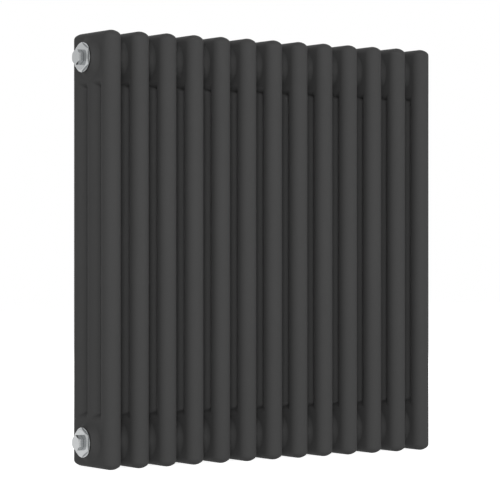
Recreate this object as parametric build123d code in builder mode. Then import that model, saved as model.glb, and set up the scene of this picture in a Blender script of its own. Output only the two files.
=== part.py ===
from build123d import *
import os
from math import radians, sqrt, tan

# Steel column radiator: thirteen welded sections of three tubes between two pressed heads,
# joined hub to hub by threaded nipples, with a bleed screw and a drain screw on the left
# and two open valve ports on the right.
# Millimetres. +X runs along the row to the right, the front faces -Y, +Z is up. The origin
# is under the middle section, on the level of the flat lands that the lower heads stand on.

# the row
SECTION_COUNT = 13
SECTION_PITCH = 45.0
HEIGHT = 600.0
DEPTH = 100.0

# tubes
COLUMN_COUNT = 3
TUBE_DIAMETER = 26.9
TUBE_WALL = 1.2
TUBE_JOINT_DROP = 86.0  # from the top of a head to the welded tube joint

# heads
HEAD_WIDTH = 27.0
HEAD_WALL = 1.4
HEAD_DROP = 76.0  # from the top of a head to the saddle between two tubes
CROWN_RADIUS = 17.5  # arch over the width of a head
SHOULDER_RADIUS = 6.5  # between the crown and the flat sides
LAND_DEPTH = 0.1  # taken off the crown for the flat land that the lower heads stand on
SADDLE_RADIUS = 15.0  # rounder arch of the saddle, on the tubes' side of a head
SADDLE_SHOULDER_RADIUS = 10.0  # between the saddle and the flat sides
SADDLE_BLEND = 4.5  # radius between the saddle and the tube stubs

# hubs, which join the sections
HUB_DROP = 36.0  # from the top of a head to the hub's axis
HUB_BASE_RADIUS = 30.0
HUB_FACE_RADIUS = 21.0
HUB_DOME_RISE = 1.5  # how far the dome bulges over the straight line from base to face
HUB_SHELL = 2.2
HUB_THREAD_RADIUS = 16.65  # G 1 thread, drawn plain at its major radius
HUB_COLLAR_RADIUS = 19.4
GASKET_THICKNESS = 0.8
GASKET_BORE_RADIUS = 16.8

# nipples
NIPPLE_LENGTH = 20.0
NIPPLE_RADIUS = 16.6
NIPPLE_BORE_RADIUS = 13.5
NIPPLE_LUG_COUNT = 2
NIPPLE_LUG_HEIGHT = 2.0
NIPPLE_LUG_WIDTH = 5.0

# end bushes, measured outwards from the hub's face
SEAL_THICKNESS = 0.9
SEAL_RADIUS = 20.9
FLANGE_RADIUS = 20.6
FLANGE_THICKNESS = 1.4
COLLAR_ACROSS_FLATS = 36.0
COLLAR_THICKNESS = 2.6
COLLAR_FACE_RADIUS = 17.4
SPIGOT_LENGTH = 13.0
HEX_CHAMFER_ANGLE = 30.0

# valve ports of the right-hand bushes
PORT_RADIUS = 10.5  # G 1/2 thread, drawn plain at its major radius
PORT_CHAMFER = 1.0

# bleed and drain screws
SCREW_ACROSS_FLATS = 18.4
SCREW_FACE_RADIUS = 9.5
SCREW_HEAD_LENGTH = 7.4
SCREW_HEAD_GAP = 0.3
SCREW_RADIUS = 5.0  # M10 x 1 thread, drawn plain
SCREW_CLEARANCE = 0.06
SCREW_LENGTH = 9.4  # threaded shank under the head
NOSE_RADIUS = 3.6
NOSE_LENGTH = 4.2
AIRWAY_RADIUS = 1.0
CROSS_HOLE_RADIUS = 0.75
CROSS_HOLE_OFFSET = 1.0  # from the shoulder of the nose
OUTLET_ANGLE = 150.0  # the outlet looks down and back, away from the room
RING_SECTION_RADIUS = 0.6
RING_GROOVE_RADIUS = 3.8
RING_GROOVE_WIDTH = 1.8
RING_GROOVE_DROP = 1.9  # from the underside of the screw's head to the groove
RING_CLEARANCE = 0.03

# seat and sealing pad behind each screw
SEAT_BORE_RADIUS = 2.0
SEAT_LIP_RADIUS = 2.9
SEAT_LIP_HEIGHT = 0.5
PAD_RADIUS = 3.4
PAD_THICKNESS = 1.1
STEM_RADIUS = 1.5
STEM_LENGTH = 2.0
STEM_CLEARANCE = 0.05
STEM_END_PLAY = 0.1

# derived places
column_pitch = (DEPTH - HEAD_WIDTH) / (COLUMN_COUNT - 1)
section_places = [(number - (SECTION_COUNT - 1) / 2) * SECTION_PITCH for number in range(SECTION_COUNT)]
joint_places = [place + SECTION_PITCH / 2 for place in section_places[:-1]]
hub_face = (SECTION_PITCH - GASKET_THICKNESS) / 2
end_face = section_places[-1] + hub_face
upper_hub = HEIGHT - HUB_DROP
lower_hub = HUB_DROP
saddle_level = HEIGHT - HEAD_DROP
stub_end = HEIGHT - TUBE_JOINT_DROP
collar_base = SEAL_THICKNESS + FLANGE_THICKNESS
collar_face = collar_base + COLLAR_THICKNESS
screw_base = collar_face + SCREW_HEAD_GAP
screw_face = screw_base + SCREW_HEAD_LENGTH
shoulder = screw_base - SCREW_LENGTH
nose_end = shoulder - NOSE_LENGTH
pad_face = nose_end - PAD_THICKNESS
seat_floor = pad_face - SEAT_LIP_HEIGHT
outlet_level = screw_base + SCREW_HEAD_LENGTH / 2
groove_top = screw_base - RING_GROOVE_DROP
ring_level = groove_top - RING_GROOVE_WIDTH / 2

os.makedirs("parts", exist_ok=True)


def port(side, level):
    """Plane on an end hub's face: local z points out of the row and local x points up."""
    return Plane(origin=(side * end_face, 0, level), x_dir=(0, 0, 1), z_dir=(side, 0, 0))


def crowned_block(inset):
    """Upright block of stadium plan, arched above and below: a head's form, set in by a wall."""
    half_width = HEAD_WIDTH / 2 - inset
    bottom = saddle_level + inset
    top = HEIGHT + LAND_DEPTH - inset
    crown_radius = CROWN_RADIUS - inset
    crown_rise = crown_radius - sqrt(crown_radius**2 - half_width**2)
    saddle_radius = SADDLE_RADIUS - inset
    saddle_rise = saddle_radius - sqrt(saddle_radius**2 - half_width**2)
    with BuildPart() as block:
        with BuildSketch(Plane.XZ) as half_section:
            with BuildLine():
                RadiusArc((0, bottom), (half_width, bottom + saddle_rise), -saddle_radius)
                Line((half_width, bottom + saddle_rise), (half_width, top - crown_rise))
                RadiusArc((half_width, top - crown_rise), (0, top), -crown_radius)
                Line((0, top), (0, bottom))
            make_face()
            upper_corner = half_section.vertices().group_by(Axis.X)[-1].sort_by(Axis.Y)[-1]
            fillet(upper_corner, SHOULDER_RADIUS - inset)
            lower_corner = half_section.vertices().group_by(Axis.X)[-1].sort_by(Axis.Y)[0]
            fillet(lower_corner, SADDLE_SHOULDER_RADIUS - inset)
        extrude(amount=column_pitch, both=True)
        mirror(about=Plane.YZ)
        for end in (-column_pitch, column_pitch):
            with BuildSketch(Plane.XZ.offset(-end)):
                add(half_section.sketch)
            revolve(axis=Axis((0, end, 0), (0, 0, 1)))
    return block.part


def hexagon_head(across_flats, base, face, face_radius):
    """Hexagon along Z whose corners are turned off at the outer face."""
    corner_radius = across_flats / sqrt(3)
    chamfer_height = (corner_radius - face_radius) * tan(radians(HEX_CHAMFER_ANGLE))
    with BuildPart() as head:
        with BuildSketch(Plane.XY.offset(base)):
            RegularPolygon(across_flats / 2, 6, major_radius=False)
        extrude(amount=face - base)
        with BuildSketch(Plane.XZ):
            with BuildLine():
                Polyline(
                    (0, base),
                    (corner_radius, base),
                    (corner_radius, face - chamfer_height),
                    (face_radius, face),
                    (0, face),
                    close=True,
                )
            make_face()
        revolve(axis=Axis.Z, mode=Mode.INTERSECT)
    return head.part


def bush_blank():
    """Hexagon bush with its flange and threaded spigot, not yet bored."""
    with BuildPart() as blank:
        add(hexagon_head(COLLAR_ACROSS_FLATS, collar_base, collar_face, COLLAR_FACE_RADIUS))
        with BuildSketch(Plane.XY.offset(SEAL_THICKNESS)):
            Circle(FLANGE_RADIUS)
        extrude(amount=FLANGE_THICKNESS)
        with BuildSketch(Plane.XY.offset(-SPIGOT_LENGTH)):
            Circle(NIPPLE_RADIUS)
        extrude(amount=SPIGOT_LENGTH + SEAL_THICKNESS)
    return blank.part


# water space of one head: the head's own form set in by the wall, the tubes' bores and the
# two annular pockets behind the hubs' domes
with BuildPart() as waterway:
    add(crowned_block(HEAD_WALL))
    with BuildSketch(Plane.XY.offset(stub_end)):
        with GridLocations(0, column_pitch, 1, COLUMN_COUNT):
            Circle(TUBE_DIAMETER / 2 - TUBE_WALL)
    extrude(amount=upper_hub - stub_end)
    with BuildSketch(Plane.XZ) as pocket_profile:
        with BuildLine():
            Polyline(
                (0, upper_hub + HUB_COLLAR_RADIUS),
                (hub_face - HUB_SHELL, upper_hub + HUB_COLLAR_RADIUS),
                (HEAD_WIDTH / 2 - HEAD_WALL, upper_hub + HUB_BASE_RADIUS - HUB_SHELL),
                (0, upper_hub + HUB_BASE_RADIUS - HUB_SHELL),
                close=True,
            )
        make_face()
        mirror(about=Plane.YZ)
    revolve(axis=Axis((0, 0, upper_hub), (1, 0, 0)))
    with BuildSketch(Plane.YZ):
        with Locations((0, upper_hub)):
            Circle(HUB_THREAD_RADIUS)
    extrude(amount=hub_face, both=True)

# pressed head of a section, with its hubs and tube stubs
with BuildPart() as head:
    add(crowned_block(0))
    split(bisect_by=Plane.XY.offset(HEIGHT), keep=Keep.BOTTOM)
    with BuildSketch(Plane.XY.offset(stub_end)):
        with GridLocations(0, column_pitch, 1, COLUMN_COUNT):
            Circle(TUBE_DIAMETER / 2)
    extrude(amount=upper_hub - stub_end)
    fillet(head.edges().filter_by(GeomType.BSPLINE), SADDLE_BLEND)
    with BuildSketch(Plane.XZ):
        with BuildLine():
            Line((0, upper_hub), (0, upper_hub + HUB_BASE_RADIUS))
            Line((0, upper_hub + HUB_BASE_RADIUS), (HEAD_WIDTH / 2, upper_hub + HUB_BASE_RADIUS))
            SagittaArc(
                (HEAD_WIDTH / 2, upper_hub + HUB_BASE_RADIUS),
                (hub_face, upper_hub + HUB_FACE_RADIUS),
                -HUB_DOME_RISE,
            )
            Line((hub_face, upper_hub + HUB_FACE_RADIUS), (hub_face, upper_hub))
            Line((hub_face, upper_hub), (0, upper_hub))
        make_face()
        mirror(about=Plane.YZ)
    revolve(axis=Axis((0, 0, upper_hub), (1, 0, 0)))
    add(waterway.part, mode=Mode.SUBTRACT)

# the thirteen sections: upper head, lower head and three tubes each
for number, place in enumerate(section_places, start=1):
    with BuildPart(Plane((place, 0, 0))) as top_head:
        add(head.part)
    top_head.part.label = f"section_{number:02d}_top_head"
    export_step(top_head.part, f"parts/section_{number:02d}_top_head.step")

    with BuildPart() as bottom_head:
        mirror(top_head.part, about=Plane.XY.offset(HEIGHT / 2))
    bottom_head.part.label = f"section_{number:02d}_bottom_head"
    export_step(bottom_head.part, f"parts/section_{number:02d}_bottom_head.step")

    with BuildPart() as tubes:
        with BuildSketch(Plane((place, 0, TUBE_JOINT_DROP))):
            with GridLocations(0, column_pitch, 1, COLUMN_COUNT):
                Circle(TUBE_DIAMETER / 2)
                Circle(TUBE_DIAMETER / 2 - TUBE_WALL, mode=Mode.SUBTRACT)
        extrude(amount=HEIGHT - 2 * TUBE_JOINT_DROP)
    tubes.part.label = f"section_{number:02d}_tubes"
    export_step(tubes.part, f"parts/section_{number:02d}_tubes.step")

# threaded nipple with two inner lugs for its assembly key
with BuildPart() as nipple:
    with BuildSketch(Plane.YZ.offset(-NIPPLE_LENGTH / 2)):
        Circle(NIPPLE_RADIUS)
        Circle(NIPPLE_BORE_RADIUS, mode=Mode.SUBTRACT)
        with PolarLocations(NIPPLE_BORE_RADIUS, NIPPLE_LUG_COUNT, start_angle=90):
            Rectangle(2 * NIPPLE_LUG_HEIGHT, NIPPLE_LUG_WIDTH)
    extrude(amount=NIPPLE_LENGTH)

with BuildPart() as hub_gasket:
    with BuildSketch(Plane.YZ.offset(-GASKET_THICKNESS / 2)):
        Circle(HUB_FACE_RADIUS)
        Circle(GASKET_BORE_RADIUS, mode=Mode.SUBTRACT)
    extrude(amount=GASKET_THICKNESS)

for row, level in (("top", upper_hub), ("bottom", lower_hub)):
    with BuildPart() as nipples:
        with Locations(*[(place, 0, level) for place in joint_places]):
            add(nipple.part)
    nipples.part.label = f"{row}_hub_nipples"
    export_step(nipples.part, f"parts/{row}_hub_nipples.step")

    with BuildPart() as gaskets:
        with Locations(*[(place, 0, level) for place in joint_places]):
            add(hub_gasket.part)
    gaskets.part.label = f"{row}_hub_gaskets"
    export_step(gaskets.part, f"parts/{row}_hub_gaskets.step")

# flat seal under the flange of every bush
with BuildPart() as flange_seal:
    with BuildSketch():
        Circle(SEAL_RADIUS)
        Circle(GASKET_BORE_RADIUS, mode=Mode.SUBTRACT)
    extrude(amount=SEAL_THICKNESS)

# reducing bush with an open valve port
with BuildPart() as valve_bush:
    add(bush_blank())
    with BuildSketch(Plane.XY.offset(-SPIGOT_LENGTH)):
        Circle(PORT_RADIUS)
    extrude(amount=SPIGOT_LENGTH + collar_face, mode=Mode.SUBTRACT)
    port_rim = valve_bush.edges().filter_by(GeomType.CIRCLE).group_by(Axis.Z)[-1].sort_by(SortBy.RADIUS)[0]
    chamfer(port_rim, PORT_CHAMFER)

# bush bored for a screw, with a raised seat lip round the airway at the bottom of the bore
with BuildPart() as screw_bush:
    add(bush_blank())
    with BuildSketch(Plane.XY.offset(seat_floor)):
        Circle(SCREW_RADIUS + SCREW_CLEARANCE)
    extrude(amount=collar_face - seat_floor, mode=Mode.SUBTRACT)
    with BuildSketch(Plane.XY.offset(seat_floor)):
        Circle(SEAT_LIP_RADIUS)
    extrude(amount=SEAT_LIP_HEIGHT)
    with BuildSketch(Plane.XY.offset(-SPIGOT_LENGTH)):
        Circle(SEAT_BORE_RADIUS)
    extrude(amount=SPIGOT_LENGTH + pad_face, mode=Mode.SUBTRACT)

# screw: hexagon head, shank with a ring groove, nose with the pad's socket, and the airway
# from the nose's cross hole to the outlet in one flank of the head
with BuildPart() as vent_screw_blank:
    add(hexagon_head(SCREW_ACROSS_FLATS, screw_base, screw_face, SCREW_FACE_RADIUS))
    with BuildSketch(Plane.XZ):
        with BuildLine():
            Polyline(
                (0, nose_end),
                (NOSE_RADIUS, nose_end),
                (NOSE_RADIUS, shoulder),
                (SCREW_RADIUS, shoulder),
                (SCREW_RADIUS, groove_top - RING_GROOVE_WIDTH),
                (RING_GROOVE_RADIUS, groove_top - RING_GROOVE_WIDTH),
                (RING_GROOVE_RADIUS, groove_top),
                (SCREW_RADIUS, groove_top),
                (SCREW_RADIUS, screw_base),
                (0, screw_base),
                close=True,
            )
        make_face()
    revolve(axis=Axis.Z)
    with BuildSketch(Plane.XY.offset(nose_end)):
        Circle(STEM_RADIUS + STEM_CLEARANCE)
    extrude(amount=STEM_LENGTH + STEM_END_PLAY, mode=Mode.SUBTRACT)
    with BuildSketch(Plane.XY.offset(nose_end + STEM_LENGTH)):
        Circle(AIRWAY_RADIUS)
    extrude(amount=outlet_level - nose_end - STEM_LENGTH, mode=Mode.SUBTRACT)
    with BuildSketch(Plane((0, 0, shoulder - CROSS_HOLE_OFFSET), x_dir=(0, 1, 0), z_dir=(1, 0, 0))):
        Circle(CROSS_HOLE_RADIUS)
    extrude(amount=NOSE_RADIUS + CROSS_HOLE_RADIUS, both=True, mode=Mode.SUBTRACT)
    with BuildSketch(Plane.YZ.rotated((0, 0, OUTLET_ANGLE))):
        with Locations((0, outlet_level)):
            Circle(AIRWAY_RADIUS)
    extrude(amount=SCREW_ACROSS_FLATS, mode=Mode.SUBTRACT)

with BuildPart() as sealing_ring:
    ring_radius = SCREW_RADIUS + SCREW_CLEARANCE - RING_CLEARANCE - RING_SECTION_RADIUS
    with BuildSketch(Plane.XZ):
        with Locations((ring_radius, ring_level)):
            Circle(RING_SECTION_RADIUS)
    revolve(axis=Axis.Z)

with BuildPart() as seal_pad:
    with BuildSketch(Plane.XY.offset(pad_face)):
        Circle(PAD_RADIUS)
    extrude(amount=PAD_THICKNESS)
    with BuildSketch(Plane.XY.offset(nose_end)):
        Circle(STEM_RADIUS)
    extrude(amount=STEM_LENGTH)

# left end: bleed valve at the top and drain screw at the bottom, alike in every piece
for name, level in (("vent", upper_hub), ("drain", lower_hub)):
    with BuildPart(port(-1, level)) as bush:
        add(screw_bush.part)
    bush.part.label = f"{name}_bush"
    export_step(bush.part, f"parts/{name}_bush.step")

    with BuildPart(port(-1, level)) as bush_seal:
        add(flange_seal.part)
    bush_seal.part.label = f"{name}_bush_seal"
    export_step(bush_seal.part, f"parts/{name}_bush_seal.step")

    with BuildPart(port(-1, level)) as screw:
        add(vent_screw_blank.part)
    screw.part.label = f"{name}_screw"
    export_step(screw.part, f"parts/{name}_screw.step")

    with BuildPart(port(-1, level)) as screw_ring:
        add(sealing_ring.part)
    screw_ring.part.label = f"{name}_screw_ring"
    export_step(screw_ring.part, f"parts/{name}_screw_ring.step")

    with BuildPart(port(-1, level)) as pad:
        add(seal_pad.part)
    pad.part.label = f"{name}_seal_pad"
    export_step(pad.part, f"parts/{name}_seal_pad.step")

# right end: open ports for the valves
for name, level in (("top_right", upper_hub), ("bottom_right", lower_hub)):
    with BuildPart(port(1, level)) as bush:
        add(valve_bush.part)
    bush.part.label = f"{name}_bush"
    export_step(bush.part, f"parts/{name}_bush.step")

    with BuildPart(port(1, level)) as bush_seal:
        add(flange_seal.part)
    bush_seal.part.label = f"{name}_bush_seal"
    export_step(bush_seal.part, f"parts/{name}_bush_seal.step")
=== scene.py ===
"""Looks of a steel column radiator: powder-coated sections, chromed end fittings and a white studio.

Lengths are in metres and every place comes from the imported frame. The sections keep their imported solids
under a powder coat. The bushes, screws and flat seals at the two ends are turned again here with eased
edges, and the open valve ports get their pipe threads.
"""

import logging
import math
from dataclasses import dataclass, field
from enum import Enum

import bmesh
import bpy
from mathutils import Matrix, Vector

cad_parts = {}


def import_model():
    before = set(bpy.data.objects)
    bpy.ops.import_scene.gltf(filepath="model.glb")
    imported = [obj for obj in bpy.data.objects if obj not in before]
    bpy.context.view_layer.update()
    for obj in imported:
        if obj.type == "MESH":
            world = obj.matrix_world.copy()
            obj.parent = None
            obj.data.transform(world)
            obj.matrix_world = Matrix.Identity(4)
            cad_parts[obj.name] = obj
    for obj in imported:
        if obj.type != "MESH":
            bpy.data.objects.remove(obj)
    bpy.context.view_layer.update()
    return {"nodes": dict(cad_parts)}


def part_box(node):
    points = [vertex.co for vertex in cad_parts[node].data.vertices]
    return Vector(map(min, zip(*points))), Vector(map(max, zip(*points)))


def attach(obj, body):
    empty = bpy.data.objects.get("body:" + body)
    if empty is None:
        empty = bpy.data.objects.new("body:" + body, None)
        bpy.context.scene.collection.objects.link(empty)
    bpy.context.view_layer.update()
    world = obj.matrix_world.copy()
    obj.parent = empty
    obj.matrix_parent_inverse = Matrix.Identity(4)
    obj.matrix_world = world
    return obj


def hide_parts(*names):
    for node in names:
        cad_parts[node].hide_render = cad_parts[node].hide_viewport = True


log = logging.getLogger("radiator")

MM = 0.001
STATIC_BODY = "radiator"

HEX_STEP = math.radians(60)
HEX_CHAMFER = math.radians(30)
SHARP_ANGLE = math.radians(20)
WAVE_TURNS = 20.0  # a wave texture of scale 1 has this many radians in one unit of length
MIX_FIRST, MIX_SECOND, MIX_RESULT = 6, 7, 2  # colour sockets of a mix node
SAME_WAY = 0.999  # least cosine between the normals of two faces that count as parallel
WELD_DISTANCE = 0.001 * MM
EASE_SEGMENTS = 3
HOLE_SIDES = 24
SCREW_SIDES = 72
THREAD_ROOT_SHARE = 0.46  # half widths of a thread ridge at its root and crest, as shares of the pitch
THREAD_CREST_SHARE = 0.1


class End(Enum):
    """End of the row that a fitting closes, as the sign of its way out along X."""

    LEFT = -1
    RIGHT = 1


class Plan(Enum):
    """Plan of one loop of a fitting: turned on a lathe or milled to a hexagon."""

    ROUND = "round"
    HEXAGON = "hexagon"


class Slot(Enum):
    """Names of material slots in the record."""

    CHROMED = "chromed_brass"
    RUBBER = "black_rubber"


def linear(hex_colour: str) -> tuple[float, float, float, float]:
    """Turn an sRGB hex colour into a linear one.

    Args:
        hex_colour: six hex digits after a number sign.

    Returns:
        Linear red, green and blue, and an alpha of one.
    """
    values = [int(hex_colour[start:start + 2], 16) / 255 for start in (1, 3, 5)]
    red, green, blue = (v / 12.92 if v <= 0.04045 else ((v + 0.055) / 1.055) ** 2.4 for v in values)
    return red, green, blue, 1.0


def add_node(tree: bpy.types.NodeTree, kind: str, inputs: dict | None = None, **settings) -> bpy.types.Node:
    """Add a shader node with its settings, values and links.

    Args:
        tree: node tree that gets the node.
        kind: Blender's name of the node's type.
        inputs: value, or output socket to link, for each named or numbered input.
        settings: the node's own properties.

    Returns:
        The new node.
    """
    node = tree.nodes.new(kind)
    for name, value in settings.items():
        setattr(node, name, value)
    for name, value in (inputs or {}).items():
        if isinstance(value, bpy.types.NodeSocket):
            tree.links.new(value, node.inputs[name])
        else:
            node.inputs[name].default_value = value
    return node


def noise_scale(size_mm: float) -> float:
    """Scale of a noise texture whose lumps are about size_mm wide."""
    return 1 / (size_mm * MM)


def wave_scale(pitch_mm: float) -> float:
    """Scale of a wave texture whose rings are pitch_mm apart."""
    return math.tau / (WAVE_TURNS * pitch_mm * MM)


def new_material(name: str) -> tuple[bpy.types.Material, bpy.types.NodeTree, bpy.types.NodeSocket]:
    """Start a material with only its output.

    Args:
        name: the material's name.

    Returns:
        The material, its node tree, and the surface socket of its output.
    """
    material = bpy.data.materials.new(name)
    material.use_nodes = True
    tree = material.node_tree
    tree.nodes.clear()
    output = add_node(tree, "ShaderNodeOutputMaterial")
    return material, tree, output.inputs["Surface"]


@dataclass(frozen=True)
class PowderCoat:
    """Polyester powder coat on pressed steel: sprayed dry, then melted and cured in an oven.

    The film has no gloss. It flows into a faint orange peel, and its tone drifts a little over a section.
    """

    name: str = "powder_coated_steel_cured"
    shade: str = "#3c3c3c"
    light: str = "#3f3f3f"
    roughness: float = 0.7
    roughness_spread: float = 0.05
    specular_level: float = 0.12
    drift_mm: float = 120.0
    peel_mm: float = 1.8
    peel_depth_mm: float = 0.02

    def build(self) -> bpy.types.Material:
        """Make the material."""
        material, tree, surface = new_material(self.name)
        place = add_node(tree, "ShaderNodeTexCoord").outputs["Object"]
        drift = add_node(tree, "ShaderNodeTexNoise",
                         {"Vector": place, "Scale": noise_scale(self.drift_mm), "Detail": 2.0})
        peel = add_node(tree, "ShaderNodeTexNoise",
                        {"Vector": place, "Scale": noise_scale(self.peel_mm), "Detail": 1.5})
        tone = add_node(tree, "ShaderNodeMix",
                        {"Factor": drift.outputs["Fac"], MIX_FIRST: linear(self.shade),
                         MIX_SECOND: linear(self.light)}, data_type="RGBA")
        matt = add_node(tree, "ShaderNodeMapRange",
                        {"Value": peel.outputs["Fac"], "To Min": self.roughness - self.roughness_spread,
                         "To Max": self.roughness + self.roughness_spread})
        bump = add_node(tree, "ShaderNodeBump",
                        {"Height": peel.outputs["Fac"], "Strength": 1.0, "Distance": self.peel_depth_mm * MM})
        shader = add_node(tree, "ShaderNodeBsdfPrincipled",
                          {"Base Color": tone.outputs[MIX_RESULT], "Roughness": matt.outputs["Result"],
                           "Specular IOR Level": self.specular_level, "Normal": bump.outputs["Normal"]})
        tree.links.new(shader.outputs["BSDF"], surface)
        return material


@dataclass(frozen=True)
class TurnedMetal:
    """Metal turned on a lathe, bare or plated: fine rings round its axis catch the light.

    Real feed marks are far finer than a pixel, so the rings are drawn as coarse as they need to show.
    """

    name: str
    colour: str
    roughness: float
    roughness_spread: float
    ring_mm: float
    ring_depth_mm: float
    cloud_mm: float
    axis_height: float

    def build(self) -> bpy.types.Material:
        """Make the material."""
        material, tree, surface = new_material(self.name)
        place = add_node(tree, "ShaderNodeTexCoord").outputs["Object"]
        centred = add_node(tree, "ShaderNodeMapping",
                           {"Vector": place, "Location": (0.0, 0.0, -self.axis_height)}).outputs["Vector"]
        rings = add_node(tree, "ShaderNodeTexWave",
                         {"Vector": centred, "Scale": wave_scale(self.ring_mm), "Distortion": 0.6},
                         wave_type="RINGS", rings_direction="X")
        cloud = add_node(tree, "ShaderNodeTexNoise",
                         {"Vector": place, "Scale": noise_scale(self.cloud_mm), "Detail": 3.0})
        matt = add_node(tree, "ShaderNodeMapRange",
                        {"Value": cloud.outputs["Fac"], "To Min": self.roughness - self.roughness_spread,
                         "To Max": self.roughness + self.roughness_spread})
        bump = add_node(tree, "ShaderNodeBump",
                        {"Height": rings.outputs["Fac"], "Strength": 1.0,
                         "Distance": self.ring_depth_mm * MM})
        shader = add_node(tree, "ShaderNodeBsdfPrincipled",
                          {"Base Color": linear(self.colour), "Metallic": 1.0,
                           "Roughness": matt.outputs["Result"], "Normal": bump.outputs["Normal"]})
        tree.links.new(shader.outputs["BSDF"], surface)
        return material


@dataclass(frozen=True)
class DullSheet:
    """Moulded rubber or pressed fibre: dark and dull, with a grain that breaks up what little it reflects."""

    name: str
    shade: str
    light: str
    roughness: float
    grain_mm: float
    grain_depth_mm: float
    specular_level: float = 0.35

    def build(self) -> bpy.types.Material:
        """Make the material."""
        material, tree, surface = new_material(self.name)
        place = add_node(tree, "ShaderNodeTexCoord").outputs["Object"]
        grain = add_node(tree, "ShaderNodeTexNoise",
                         {"Vector": place, "Scale": noise_scale(self.grain_mm), "Detail": 4.0})
        tone = add_node(tree, "ShaderNodeMix",
                        {"Factor": grain.outputs["Fac"], MIX_FIRST: linear(self.shade),
                         MIX_SECOND: linear(self.light)}, data_type="RGBA")
        bump = add_node(tree, "ShaderNodeBump",
                        {"Height": grain.outputs["Fac"], "Strength": 1.0,
                         "Distance": self.grain_depth_mm * MM})
        shader = add_node(tree, "ShaderNodeBsdfPrincipled",
                          {"Base Color": tone.outputs[MIX_RESULT], "Roughness": self.roughness,
                           "Specular IOR Level": self.specular_level, "Normal": bump.outputs["Normal"]})
        tree.links.new(shader.outputs["BSDF"], surface)
        return material


def dress(piece: bpy.types.Object, material: bpy.types.Material) -> None:
    """Give a piece one material all over."""
    piece.data.materials.clear()
    piece.data.materials.append(material)


@dataclass(frozen=True)
class Loop:
    """One loop of points round a fitting's axis.

    Attributes:
        radius: radius of a round loop, or half the width across a hexagon's flats.
        height: height along the axis.
        plan: round or hexagon.
        chamfer_from: radius from which a turned chamfer falls away below the height.
        limit: greatest distance from the axis, which rounds off a hexagon's corners.
    """

    radius: float
    height: float
    plan: Plan = Plan.ROUND
    chamfer_from: float | None = None
    limit: float | None = None

    def point(self, angle: float) -> Vector:
        """Find the loop's point at an angle.

        Args:
            angle: angle from local X, which is also the way to a hexagon's corner.

        Returns:
            The point in the fitting's own axes.
        """
        reach = self.radius
        if self.plan is Plan.HEXAGON:
            reach /= math.cos(angle % HEX_STEP - HEX_STEP / 2)
        if self.limit is not None:
            reach = min(reach, self.limit)
        drop = 0.0
        if self.chamfer_from is not None:
            drop = max(0.0, reach - self.chamfer_from) * math.tan(HEX_CHAMFER)
        return Vector((reach * math.cos(angle), reach * math.sin(angle), self.height - drop))


@dataclass(frozen=True)
class Port:
    """Face of one end hub: where it is and which way leads out."""

    end: End
    face: float
    level: float

    @classmethod
    def under_seal(cls, seal_node: str, end: End) -> "Port":
        """Read a port's place from the flat seal that lies on its face.

        Args:
            seal_node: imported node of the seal.
            end: end of the row that the port is on.

        Returns:
            The port.
        """
        low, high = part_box(seal_node)
        face = high.x if end is End.LEFT else low.x
        return cls(end, face, (low.z + high.z) / 2)

    def matrix(self) -> Matrix:
        """Placing of a fitting made with +Z out of the hub and +X up."""
        out = Vector((self.end.value, 0, 0))
        up = Vector((0, 0, 1))
        turned = Matrix((up, out.cross(up), out)).transposed().to_4x4()
        return Matrix.Translation((self.face, 0, self.level)) @ turned


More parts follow.
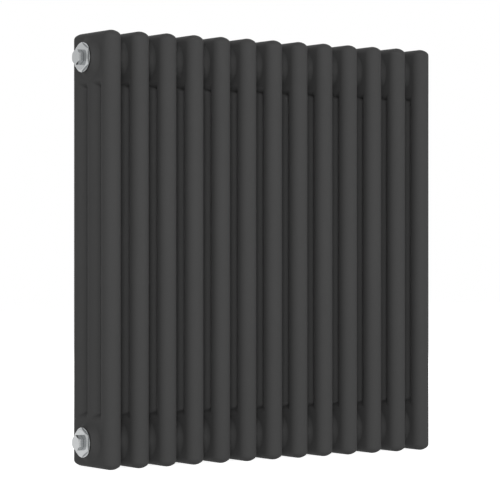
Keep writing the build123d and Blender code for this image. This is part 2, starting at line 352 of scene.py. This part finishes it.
@dataclass
class Workpiece:
    """A fitting's mesh in the making, with +Z out of the hub and +X up.

    Attributes:
        sides: points in every loop, a multiple of six so that hexagons keep their corners.
        mesh: the mesh itself.
    """

    sides: int = 96
    mesh: bmesh.types.BMesh = field(default_factory=bmesh.new)

    def place(self, points: list[bmesh.types.BMVert], loop: Loop) -> None:
        """Move a ring of points onto a loop, each at its own angle."""
        step = math.tau / self.sides
        for point in points:
            turn = round(math.atan2(point.co.y, point.co.x) / step)
            point.co = loop.point((turn % self.sides) * step)

    def raise_skin(self, loops: list[Loop], bored: bool) -> None:
        """Raise a closed skin through a list of loops, one extrusion each.

        Args:
            loops: the loops in order.
            bored: True joins the last loop to the first, round a bore; False caps both ends.
        """
        circle = bmesh.ops.create_circle(self.mesh, cap_ends=not bored, radius=1, segments=self.sides)
        points = circle["verts"]
        first = list({edge for point in points for edge in point.link_edges})
        self.place(points, loops[0])
        rim = first
        for loop in loops[1:]:
            grown = bmesh.ops.extrude_edge_only(self.mesh, edges=rim)["geom"]
            self.place([item for item in grown if isinstance(item, bmesh.types.BMVert)], loop)
            rim = [item for item in grown if isinstance(item, bmesh.types.BMEdge) and item.is_boundary]
        if bored:
            bmesh.ops.bridge_loops(self.mesh, edges=first + rim)
        else:
            bmesh.ops.edgeloop_fill(self.mesh, edges=rim)

    def drill_flank(self, angle: float, height: float, radius: float, depth: float, room: float) -> None:
        """Drill a blind hole into one flank of a hexagon.

        Args:
            angle: direction of the flank, from local X.
            height: height of the hole's centre along the axis.
            radius: the hole's radius.
            depth: the hole's depth.
            room: half the width of the stretch of flank that is opened for the hole.
        """
        out = Vector((math.cos(angle), math.sin(angle), 0))
        side = Vector((-out.y, out.x, 0))
        flank = []
        for face in self.mesh.faces:
            centre = face.calc_center_median()
            if face.normal.dot(out) > SAME_WAY and abs(centre.dot(side)) < room and centre.z > 0:
                flank.append(face)
        reach = flank[0].verts[0].co.dot(out)
        bmesh.ops.delete(self.mesh, geom=flank, context="FACES")
        edge_of_gap = [edge for edge in self.mesh.edges if edge.is_boundary]
        axis = Matrix((side, out.cross(side), out)).transposed().to_4x4()
        centre = Matrix.Translation(out * reach + Vector((0, 0, height)))
        circle = bmesh.ops.create_circle(self.mesh, radius=radius, segments=HOLE_SIDES, matrix=centre @ axis)
        points = circle["verts"]
        rim = list({edge for point in points for edge in point.link_edges})
        bmesh.ops.bridge_loops(self.mesh, edges=edge_of_gap + rim)
        wall = bmesh.ops.extrude_edge_only(self.mesh, edges=rim)["geom"]
        bmesh.ops.translate(self.mesh, vec=-out * depth,
                            verts=[item for item in wall if isinstance(item, bmesh.types.BMVert)])
        floor = [item for item in wall if isinstance(item, bmesh.types.BMEdge) and item.is_boundary]
        bmesh.ops.edgeloop_fill(self.mesh, edges=floor)

    def ease(self, width: float) -> None:
        """Round every sharp edge a little, as tumbling and plating do."""
        bmesh.ops.recalc_face_normals(self.mesh, faces=self.mesh.faces)
        sharp = [edge for edge in self.mesh.edges
                 if edge.is_manifold and edge.calc_face_angle() > SHARP_ANGLE]
        bmesh.ops.bevel(self.mesh, geom=sharp, offset=width, offset_type="OFFSET", segments=EASE_SEGMENTS,
                        profile=0.5, affect="EDGES", clamp_overlap=True, material=-1)

    def wind_thread(self, root: float, crest: float, pitch: float, start: float, stop: float) -> None:
        """Wind the ridge of an inner thread, its root sunk a little into the bore.

        Args:
            root: radius of the ridge's root.
            crest: radius of its crest, smaller than the root.
            pitch: rise in one turn.
            start: height of the first turn.
            stop: height of the last turn.
        """
        half_root = THREAD_ROOT_SHARE * pitch
        half_crest = THREAD_CREST_SHARE * pitch
        outline = ((root, -half_root), (crest, -half_crest), (crest, half_crest), (root, half_root))
        points = [self.mesh.verts.new((radius, 0, start + rise)) for radius, rise in outline]
        profile = self.mesh.faces.new(points)
        turns = (stop - start) / pitch
        steps = round(turns * self.sides / 2)
        bmesh.ops.spin(self.mesh, geom=[profile, *profile.edges, *points], cent=(0, 0, 0), axis=(0, 0, 1),
                       dvec=(0, 0, (stop - start) / steps), angle=math.tau * turns, steps=steps)
        bmesh.ops.holes_fill(self.mesh, edges=[edge for edge in self.mesh.edges if edge.is_boundary])

    def finish(self, name: str, port: Port) -> bpy.types.Object:
        """Set the mesh on its port and make it an object.

        Args:
            name: the piece's name.
            port: port that the fitting sits on.

        Returns:
            The new object, at the origin, with its place in its mesh.
        """
        bmesh.ops.remove_doubles(self.mesh, verts=self.mesh.verts, dist=WELD_DISTANCE)
        bmesh.ops.recalc_face_normals(self.mesh, faces=self.mesh.faces)
        bmesh.ops.transform(self.mesh, matrix=port.matrix(), verts=self.mesh.verts)
        for face in self.mesh.faces:
            face.smooth = True
        data = bpy.data.meshes.new(name)
        self.mesh.to_mesh(data)
        self.mesh.free()
        piece = bpy.data.objects.new(name, data)
        bpy.context.scene.collection.objects.link(piece)
        flat_faces = piece.modifiers.new("flat_faces", "WEIGHTED_NORMAL")
        flat_faces.keep_sharp = True
        log.info("%s: %d faces", name, len(data.polygons))
        return piece


@dataclass
class Finishes:
    """The materials, made once and shared by every sub-assembly.

    Attributes:
        levels: height of the hub axes that turned pieces sit on, by row name.
    """

    levels: dict[str, float]
    coated: bpy.types.Material = field(init=False)
    rubber: bpy.types.Material = field(init=False)
    fibre: bpy.types.Material = field(init=False)
    chromed: dict[str, bpy.types.Material] = field(init=False)
    steel: dict[str, bpy.types.Material] = field(init=False)

    def __post_init__(self) -> None:
        """Build every material."""
        self.coated = PowderCoat().build()
        # nitrile rubber, moulded: black, dull, slightly dusty
        self.rubber = DullSheet("nitrile_rubber_moulded", "#121212", "#1c1c1c", 0.7, 0.6, 0.01).build()
        # aramid fibre sheet, pressed and punched: charcoal with a fine felted fleck
        self.fibre = DullSheet("aramid_fibre_pressed", "#1d1e1e", "#2c2d2d", 0.85, 0.4, 0.02).build()
        self.chromed = {}
        self.steel = {}
        for row, level in self.levels.items():
            # brass, turned and chrome plated: grey mirror, softened by the turning under the plate
            self.chromed[row] = TurnedMetal(f"chrome_plated_brass_{row}", "#aeb0b1", 0.15, 0.03, 0.5, 0.0004,
                                            3.0, level).build()
            # mild steel, turned and oiled: darker than chrome, with open feed marks
            self.steel[row] = TurnedMetal(f"mild_steel_turned_{row}", "#8d8b88", 0.42, 0.08, 0.6, 0.01,
                                          2.0, level).build()


@dataclass
class SectionRow:
    """The welded sections: two heads and a group of tubes each, all under one coat."""

    count: int = 13
    parts: tuple[str, ...] = ("top_head", "bottom_head", "tubes")

    def dress(self, nodes: dict[str, bpy.types.Object], finishes: Finishes) -> None:
        """Coat every section.

        Args:
            nodes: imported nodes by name.
            finishes: the materials.
        """
        for number in range(1, self.count + 1):
            for part in self.parts:
                dress(nodes[f"section_{number:02d}_{part}"], finishes.coated)
        log.info("%d sections coated", self.count)


@dataclass
class HubJoints:
    """Nipples and gaskets that join the sections, hub to hub."""

    rows: tuple[str, ...] = ("top", "bottom")

    def dress(self, nodes: dict[str, bpy.types.Object], finishes: Finishes) -> None:
        """Dress the nipples and gaskets of both rows of hubs.

        Args:
            nodes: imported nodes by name.
            finishes: the materials.
        """
        for row in self.rows:
            dress(nodes[f"{row}_hub_nipples"], finishes.steel[row])
            dress(nodes[f"{row}_hub_gaskets"], finishes.fibre)
            log.info("%s hub joints dressed", row)


@dataclass
class EndBush:
    """Hexagon bush that closes or reduces an end hub, with the flat seal under its flange.

    Attributes:
        name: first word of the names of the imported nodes.
        row: row of hubs, top or bottom.
        end: end of the row of sections.
    """

    name: str
    row: str
    end: End
    seal_thickness: float = 0.9 * MM
    seal_radius: float = 20.9 * MM
    seal_bore: float = 16.8 * MM
    flange_radius: float = 20.6 * MM
    collar_base: float = 2.3 * MM
    collar_face: float = 4.9 * MM
    collar_half_flats: float = 18.0 * MM
    collar_face_radius: float = 17.4 * MM
    spigot_radius: float = 16.6 * MM
    spigot_end: float = -13.0 * MM
    edge_ease: float = 0.22 * MM
    seal_ease: float = 0.25 * MM
    port: Port = field(init=False)

    def __post_init__(self) -> None:
        """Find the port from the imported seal."""
        self.port = Port.under_seal(f"{self.name}_bush_seal", self.end)

    def fit(self, work: Workpiece, node: str, body: str, slot: Slot,
            material: bpy.types.Material) -> None:
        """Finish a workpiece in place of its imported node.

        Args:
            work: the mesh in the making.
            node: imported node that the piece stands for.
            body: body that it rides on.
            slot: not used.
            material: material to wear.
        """
        piece = work.finish(f"{node}_turned", self.port)
        dress(piece, material)
        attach(piece, body)
        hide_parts(node)

    def collar(self, mouth: list[Loop]) -> list[Loop]:
        """List the loops of the hexagon collar, from the bore's mouth round to the bore's wall.

        Args:
            mouth: loops of the bore's mouth, from the inside out.

        Returns:
            The loops of a bored skin.
        """
        return [
            *mouth,
            Loop(self.collar_face_radius, self.collar_face),
            Loop(self.collar_half_flats, self.collar_face, Plan.HEXAGON,
                 chamfer_from=self.collar_face_radius),
            Loop(self.collar_half_flats, self.collar_base, Plan.HEXAGON),
            Loop(mouth[0].radius, self.collar_base),
        ]

    def flange_and_spigot(self, bore: float, inner: list[Loop]) -> list[Loop]:
        """List the loops of the flange and the spigot behind the collar.

        Args:
            bore: radius of the bore at the collar.
            inner: loops of the bore from the spigot's end inwards.

        Returns:
            The loops of a bored skin.
        """
        return [
            Loop(bore, self.collar_base),
            Loop(self.flange_radius, self.collar_base),
            Loop(self.flange_radius, self.seal_thickness),
            Loop(self.spigot_radius, self.seal_thickness),
            Loop(self.spigot_radius, self.spigot_end),
            *inner,
        ]

    def build_seal(self, finishes: Finishes) -> None:
        """Mould the flat seal with rounded rims."""
        work = Workpiece()
        work.raise_skin([
            Loop(self.seal_bore, 0.0),
            Loop(self.seal_radius, 0.0),
            Loop(self.seal_radius, self.seal_thickness),
            Loop(self.seal_bore, self.seal_thickness),
        ], bored=True)
        work.ease(self.seal_ease)
        self.fit(work, f"{self.name}_bush_seal", STATIC_BODY, Slot.RUBBER, finishes.rubber)


@dataclass
class ScrewFitting(EndBush):
    """Bush bored for a bleed or drain screw, the screw itself, its ring and its sealing pad."""

    bore: float = 5.06 * MM
    seat_bore: float = 2.0 * MM
    seat_lip_radius: float = 2.9 * MM
    seat_lip: float = -9.5 * MM
    seat_floor: float = -10.0 * MM
    head_half_flats: float = 9.2 * MM
    head_base: float = 5.2 * MM
    head_face: float = 12.6 * MM
    head_face_radius: float = 9.5 * MM
    head_rim: float = 0.45 * MM
    shank_radius: float = 5.0 * MM
    shoulder: float = -4.2 * MM
    groove_radius: float = 3.8 * MM
    groove_low: float = 1.5 * MM
    groove_high: float = 3.3 * MM
    nose_radius: float = 3.6 * MM
    nose_end: float = -8.4 * MM
    socket_radius: float = 1.55 * MM
    socket_floor: float = -6.3 * MM
    outlet_angle: float = math.radians(150)
    outlet_radius: float = 1.0 * MM
    outlet_depth: float = 6.0 * MM
    outlet_room: float = 2.6 * MM

    def build(self, nodes: dict[str, bpy.types.Object], finishes: Finishes) -> None:
        """Make the bush, the seal and the screw, and dress the ring and the pad.

        Args:
            nodes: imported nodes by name.
            finishes: the materials.
        """
        self.build_bush(finishes)
        self.build_seal(finishes)
        self.build_screw(finishes)
        dress(nodes[f"{self.name}_screw_ring"], finishes.rubber)
        dress(nodes[f"{self.name}_seal_pad"], finishes.rubber)

    def build_bush(self, finishes: Finishes) -> None:
        """Turn the bush, with the seat lip at the bottom of its bore."""
        work = Workpiece()
        work.raise_skin(self.collar([Loop(self.bore, self.collar_face)]), bored=True)
        work.raise_skin(self.flange_and_spigot(self.bore, [
            Loop(self.seat_bore, self.spigot_end),
            Loop(self.seat_bore, self.seat_lip),
            Loop(self.seat_lip_radius, self.seat_lip),
            Loop(self.seat_lip_radius, self.seat_floor),
            Loop(self.bore, self.seat_floor),
        ]), bored=True)
        work.ease(self.edge_ease)
        self.fit(work, f"{self.name}_bush", STATIC_BODY, Slot.CHROMED, finishes.chromed[self.row])

    def build_screw(self, finishes: Finishes) -> None:
        """Turn the screw from the socket in its nose up to its hexagon head, and drill its outlet."""
        work = Workpiece(sides=SCREW_SIDES)
        work.raise_skin([
            Loop(self.socket_radius, self.socket_floor),
            Loop(self.socket_radius, self.nose_end),
            Loop(self.nose_radius, self.nose_end),
            Loop(self.nose_radius, self.shoulder),
            Loop(self.shank_radius, self.shoulder),
            Loop(self.shank_radius, self.groove_low),
            Loop(self.groove_radius, self.groove_low),
            Loop(self.groove_radius, self.groove_high),
            Loop(self.shank_radius, self.groove_high),
            Loop(self.shank_radius, self.head_base),
            Loop(self.head_half_flats, self.head_base, Plan.HEXAGON),
            Loop(self.head_half_flats, self.head_face, Plan.HEXAGON, chamfer_from=self.head_face_radius),
            Loop(self.head_half_flats - self.head_rim, self.head_face, Plan.HEXAGON,
                 limit=self.head_face_radius),
        ], bored=False)
        bmesh.ops.recalc_face_normals(work.mesh, faces=work.mesh.faces)
        work.drill_flank(self.outlet_angle, (self.head_base + self.head_face) / 2, self.outlet_radius,
                         self.outlet_depth, self.outlet_room)
        work.ease(self.edge_ease)
        self.fit(work, f"{self.name}_screw", f"{self.name}_screw", Slot.CHROMED, finishes.chromed[self.row])


@dataclass
class ValvePort(EndBush):
    """Reducing bush with an open, threaded port for a valve."""

    bore: float = 10.5 * MM
    mouth_chamfer: float = 1.0 * MM
    thread_pitch: float = 1.814 * MM
    thread_root: float = 10.56 * MM
    thread_crest: float = 9.45 * MM
    thread_inset: float = 1.2 * MM

    def build(self, finishes: Finishes) -> None:
        """Make the bush with its thread, and the seal."""
        work = Workpiece()
        work.raise_skin(self.collar([
            Loop(self.bore, self.collar_face - self.mouth_chamfer),
            Loop(self.bore + self.mouth_chamfer, self.collar_face),
        ]), bored=True)
        work.raise_skin(self.flange_and_spigot(self.bore, [Loop(self.bore, self.spigot_end)]), bored=True)
        work.ease(self.edge_ease)
        work.wind_thread(self.thread_root, self.thread_crest, self.thread_pitch,
                         self.spigot_end + self.thread_inset,
                         self.collar_face - self.mouth_chamfer - self.thread_inset)
        self.fit(work, f"{self.name}_bush", STATIC_BODY, Slot.CHROMED, finishes.chromed[self.row])
        self.build_seal(finishes)


@dataclass(frozen=True)
class Lamp:
    """One soft panel lamp that looks at the middle of the radiator and stays out of its reflections.

    Attributes:
        name: the lamp's name.
        direction: way from the radiator to the lamp.
        distance: how far away it stands.
        size: side of its square panel.
        level: brightness of a white card at the radiator that faces the lamp.
    """

    name: str
    direction: tuple[float, float, float]
    distance: float
    size: float
    level: float

    def hang(self, aim: Vector) -> None:
        """Put the lamp in the scene, turned towards a point."""
        data = bpy.data.lights.new(self.name, "AREA")
        data.shape = "SQUARE"
        data.size = self.size
        data.energy = self.level * (math.pi * self.distance) ** 2
        lamp = bpy.data.objects.new(self.name, data)
        away = Vector(self.direction).normalized()
        lamp.location = aim + away * self.distance
        lamp.rotation_euler = away.to_track_quat("Z", "Y").to_euler()
        lamp.visible_glossy = False
        bpy.context.scene.collection.objects.link(lamp)


@dataclass(frozen=True)
class Studio:
    """White studio: level camera at the front left, soft panel lamps, pale floor and a white surround."""

    camera_place: tuple[float, float, float] = (-1.8339, -2.6295, 0.29987)
    camera_yaw: float = math.radians(-34.68359)
    sensor: float = 36.0
    lens: float = 159.65
    aim: tuple[float, float, float] = (0.0, 0.0, 0.3)
    surround: float = 0.18
    floor_half: float = 7.0
    floor_colour: str = "#e6e6e6"
    floor_lift: float = 0.87
    lamps: tuple[Lamp, ...] = (
        Lamp("camera_key", (-0.57, -0.82, 0.08), 7.0, 1.7, 0.67),
        Lamp("left_fill", (-0.79, -0.62, 0.18), 6.5, 1.6, 0.06),
        Lamp("front_fill", (0.25, -0.85, 0.46), 5.0, 2.5, 0.34),
        Lamp("back_fill", (0.6, 0.75, 0.5), 3.0, 2.0, 0.35),
    )

    def build(self) -> None:
        """Set up camera, lamps, surround and floor."""
        bpy.context.scene.view_settings.view_transform = "Standard"
        self.build_camera()
        for lamp in self.lamps:
            lamp.hang(Vector(self.aim))
        self.build_surround()
        self.build_floor()
        log.info("studio built")

    def build_camera(self) -> None:
        """Stand the camera where the photograph was taken from, with a long lens."""
        data = bpy.data.cameras.new("camera")
        data.sensor_width = self.sensor
        data.lens = self.lens
        data.clip_end = 100.0
        camera = bpy.data.objects.new("camera", data)
        camera.location = self.camera_place
        camera.rotation_euler = (math.radians(90), 0.0, self.camera_yaw)
        bpy.context.scene.collection.objects.link(camera)
        bpy.context.scene.camera = camera

    def seen(self, tree: bpy.types.NodeTree) -> bpy.types.NodeSocket:
        """Add a factor that is 1 for what the camera, a mirror or glass shows, and 0 for lighting.

        Args:
            tree: node tree that gets the nodes.

        Returns:
            The factor's socket.
        """
        path = add_node(tree, "ShaderNodeLightPath")
        shown = add_node(tree, "ShaderNodeMath",
                         {0: path.outputs["Is Camera Ray"], 1: path.outputs["Is Glossy Ray"]},
                         operation="MAXIMUM")
        through = add_node(tree, "ShaderNodeMath",
                           {0: shown.outputs[0], 1: path.outputs["Is Transmission Ray"]},
                           operation="MAXIMUM")
        return through.outputs[0]

    def build_surround(self) -> None:
        """Make the world white to look at and softer as a light."""
        world = bpy.data.worlds.new("white_surround")
        world.use_nodes = True
        tree = world.node_tree
        tree.nodes.clear()
        strength = add_node(tree, "ShaderNodeMapRange", {"Value": self.seen(tree), "To Min": self.surround,
                                                         "To Max": 1.0})
        sky = add_node(tree, "ShaderNodeBackground", {"Color": linear("#ffffff"),
                                                      "Strength": strength.outputs["Result"]})
        add_node(tree, "ShaderNodeOutputWorld", {"Surface": sky.outputs["Background"]})
        bpy.context.scene.world = world

    def build_floor(self) -> None:
        """Lay a pale floor that keeps the radiator's shadow and fades into the white."""
        material, tree, surface = new_material("matt_paper_sweep")
        paper = add_node(tree, "ShaderNodeBsdfDiffuse", {"Color": linear(self.floor_colour)})
        lift = add_node(tree, "ShaderNodeMath", {0: self.seen(tree), 1: self.floor_lift},
                        operation="MULTIPLY")
        glow = add_node(tree, "ShaderNodeEmission", {"Color": linear("#ffffff"), "Strength": lift.outputs[0]})
        both = add_node(tree, "ShaderNodeAddShader", {0: paper.outputs["BSDF"], 1: glow.outputs["Emission"]})
        tree.links.new(both.outputs["Shader"], surface)
        mesh = bmesh.new()
        bmesh.ops.create_grid(mesh, x_segments=1, y_segments=1, size=self.floor_half)
        data = bpy.data.meshes.new("floor")
        mesh.to_mesh(data)
        mesh.free()
        floor = bpy.data.objects.new("floor", data)
        bpy.context.scene.collection.objects.link(floor)
        dress(floor, material)


def main() -> None:
    """Load the frame, build and dress every sub-assembly, and set up the studio."""
    logging.basicConfig(level=logging.INFO, format="%(name)s: %(message)s")
    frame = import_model()
    nodes = frame["nodes"]
    fittings = [ScrewFitting("vent", "top", End.LEFT), ScrewFitting("drain", "bottom", End.LEFT)]
    ports = [ValvePort("top_right", "top", End.RIGHT), ValvePort("bottom_right", "bottom", End.RIGHT)]
    finishes = Finishes({fitting.row: fitting.port.level for fitting in fittings})
    SectionRow().dress(nodes, finishes)
    HubJoints().dress(nodes, finishes)
    for fitting in fittings:
        fitting.build(nodes, finishes)
    for port in ports:
        port.build(finishes)
    Studio().build()


if __name__ == "__main__":
    main()
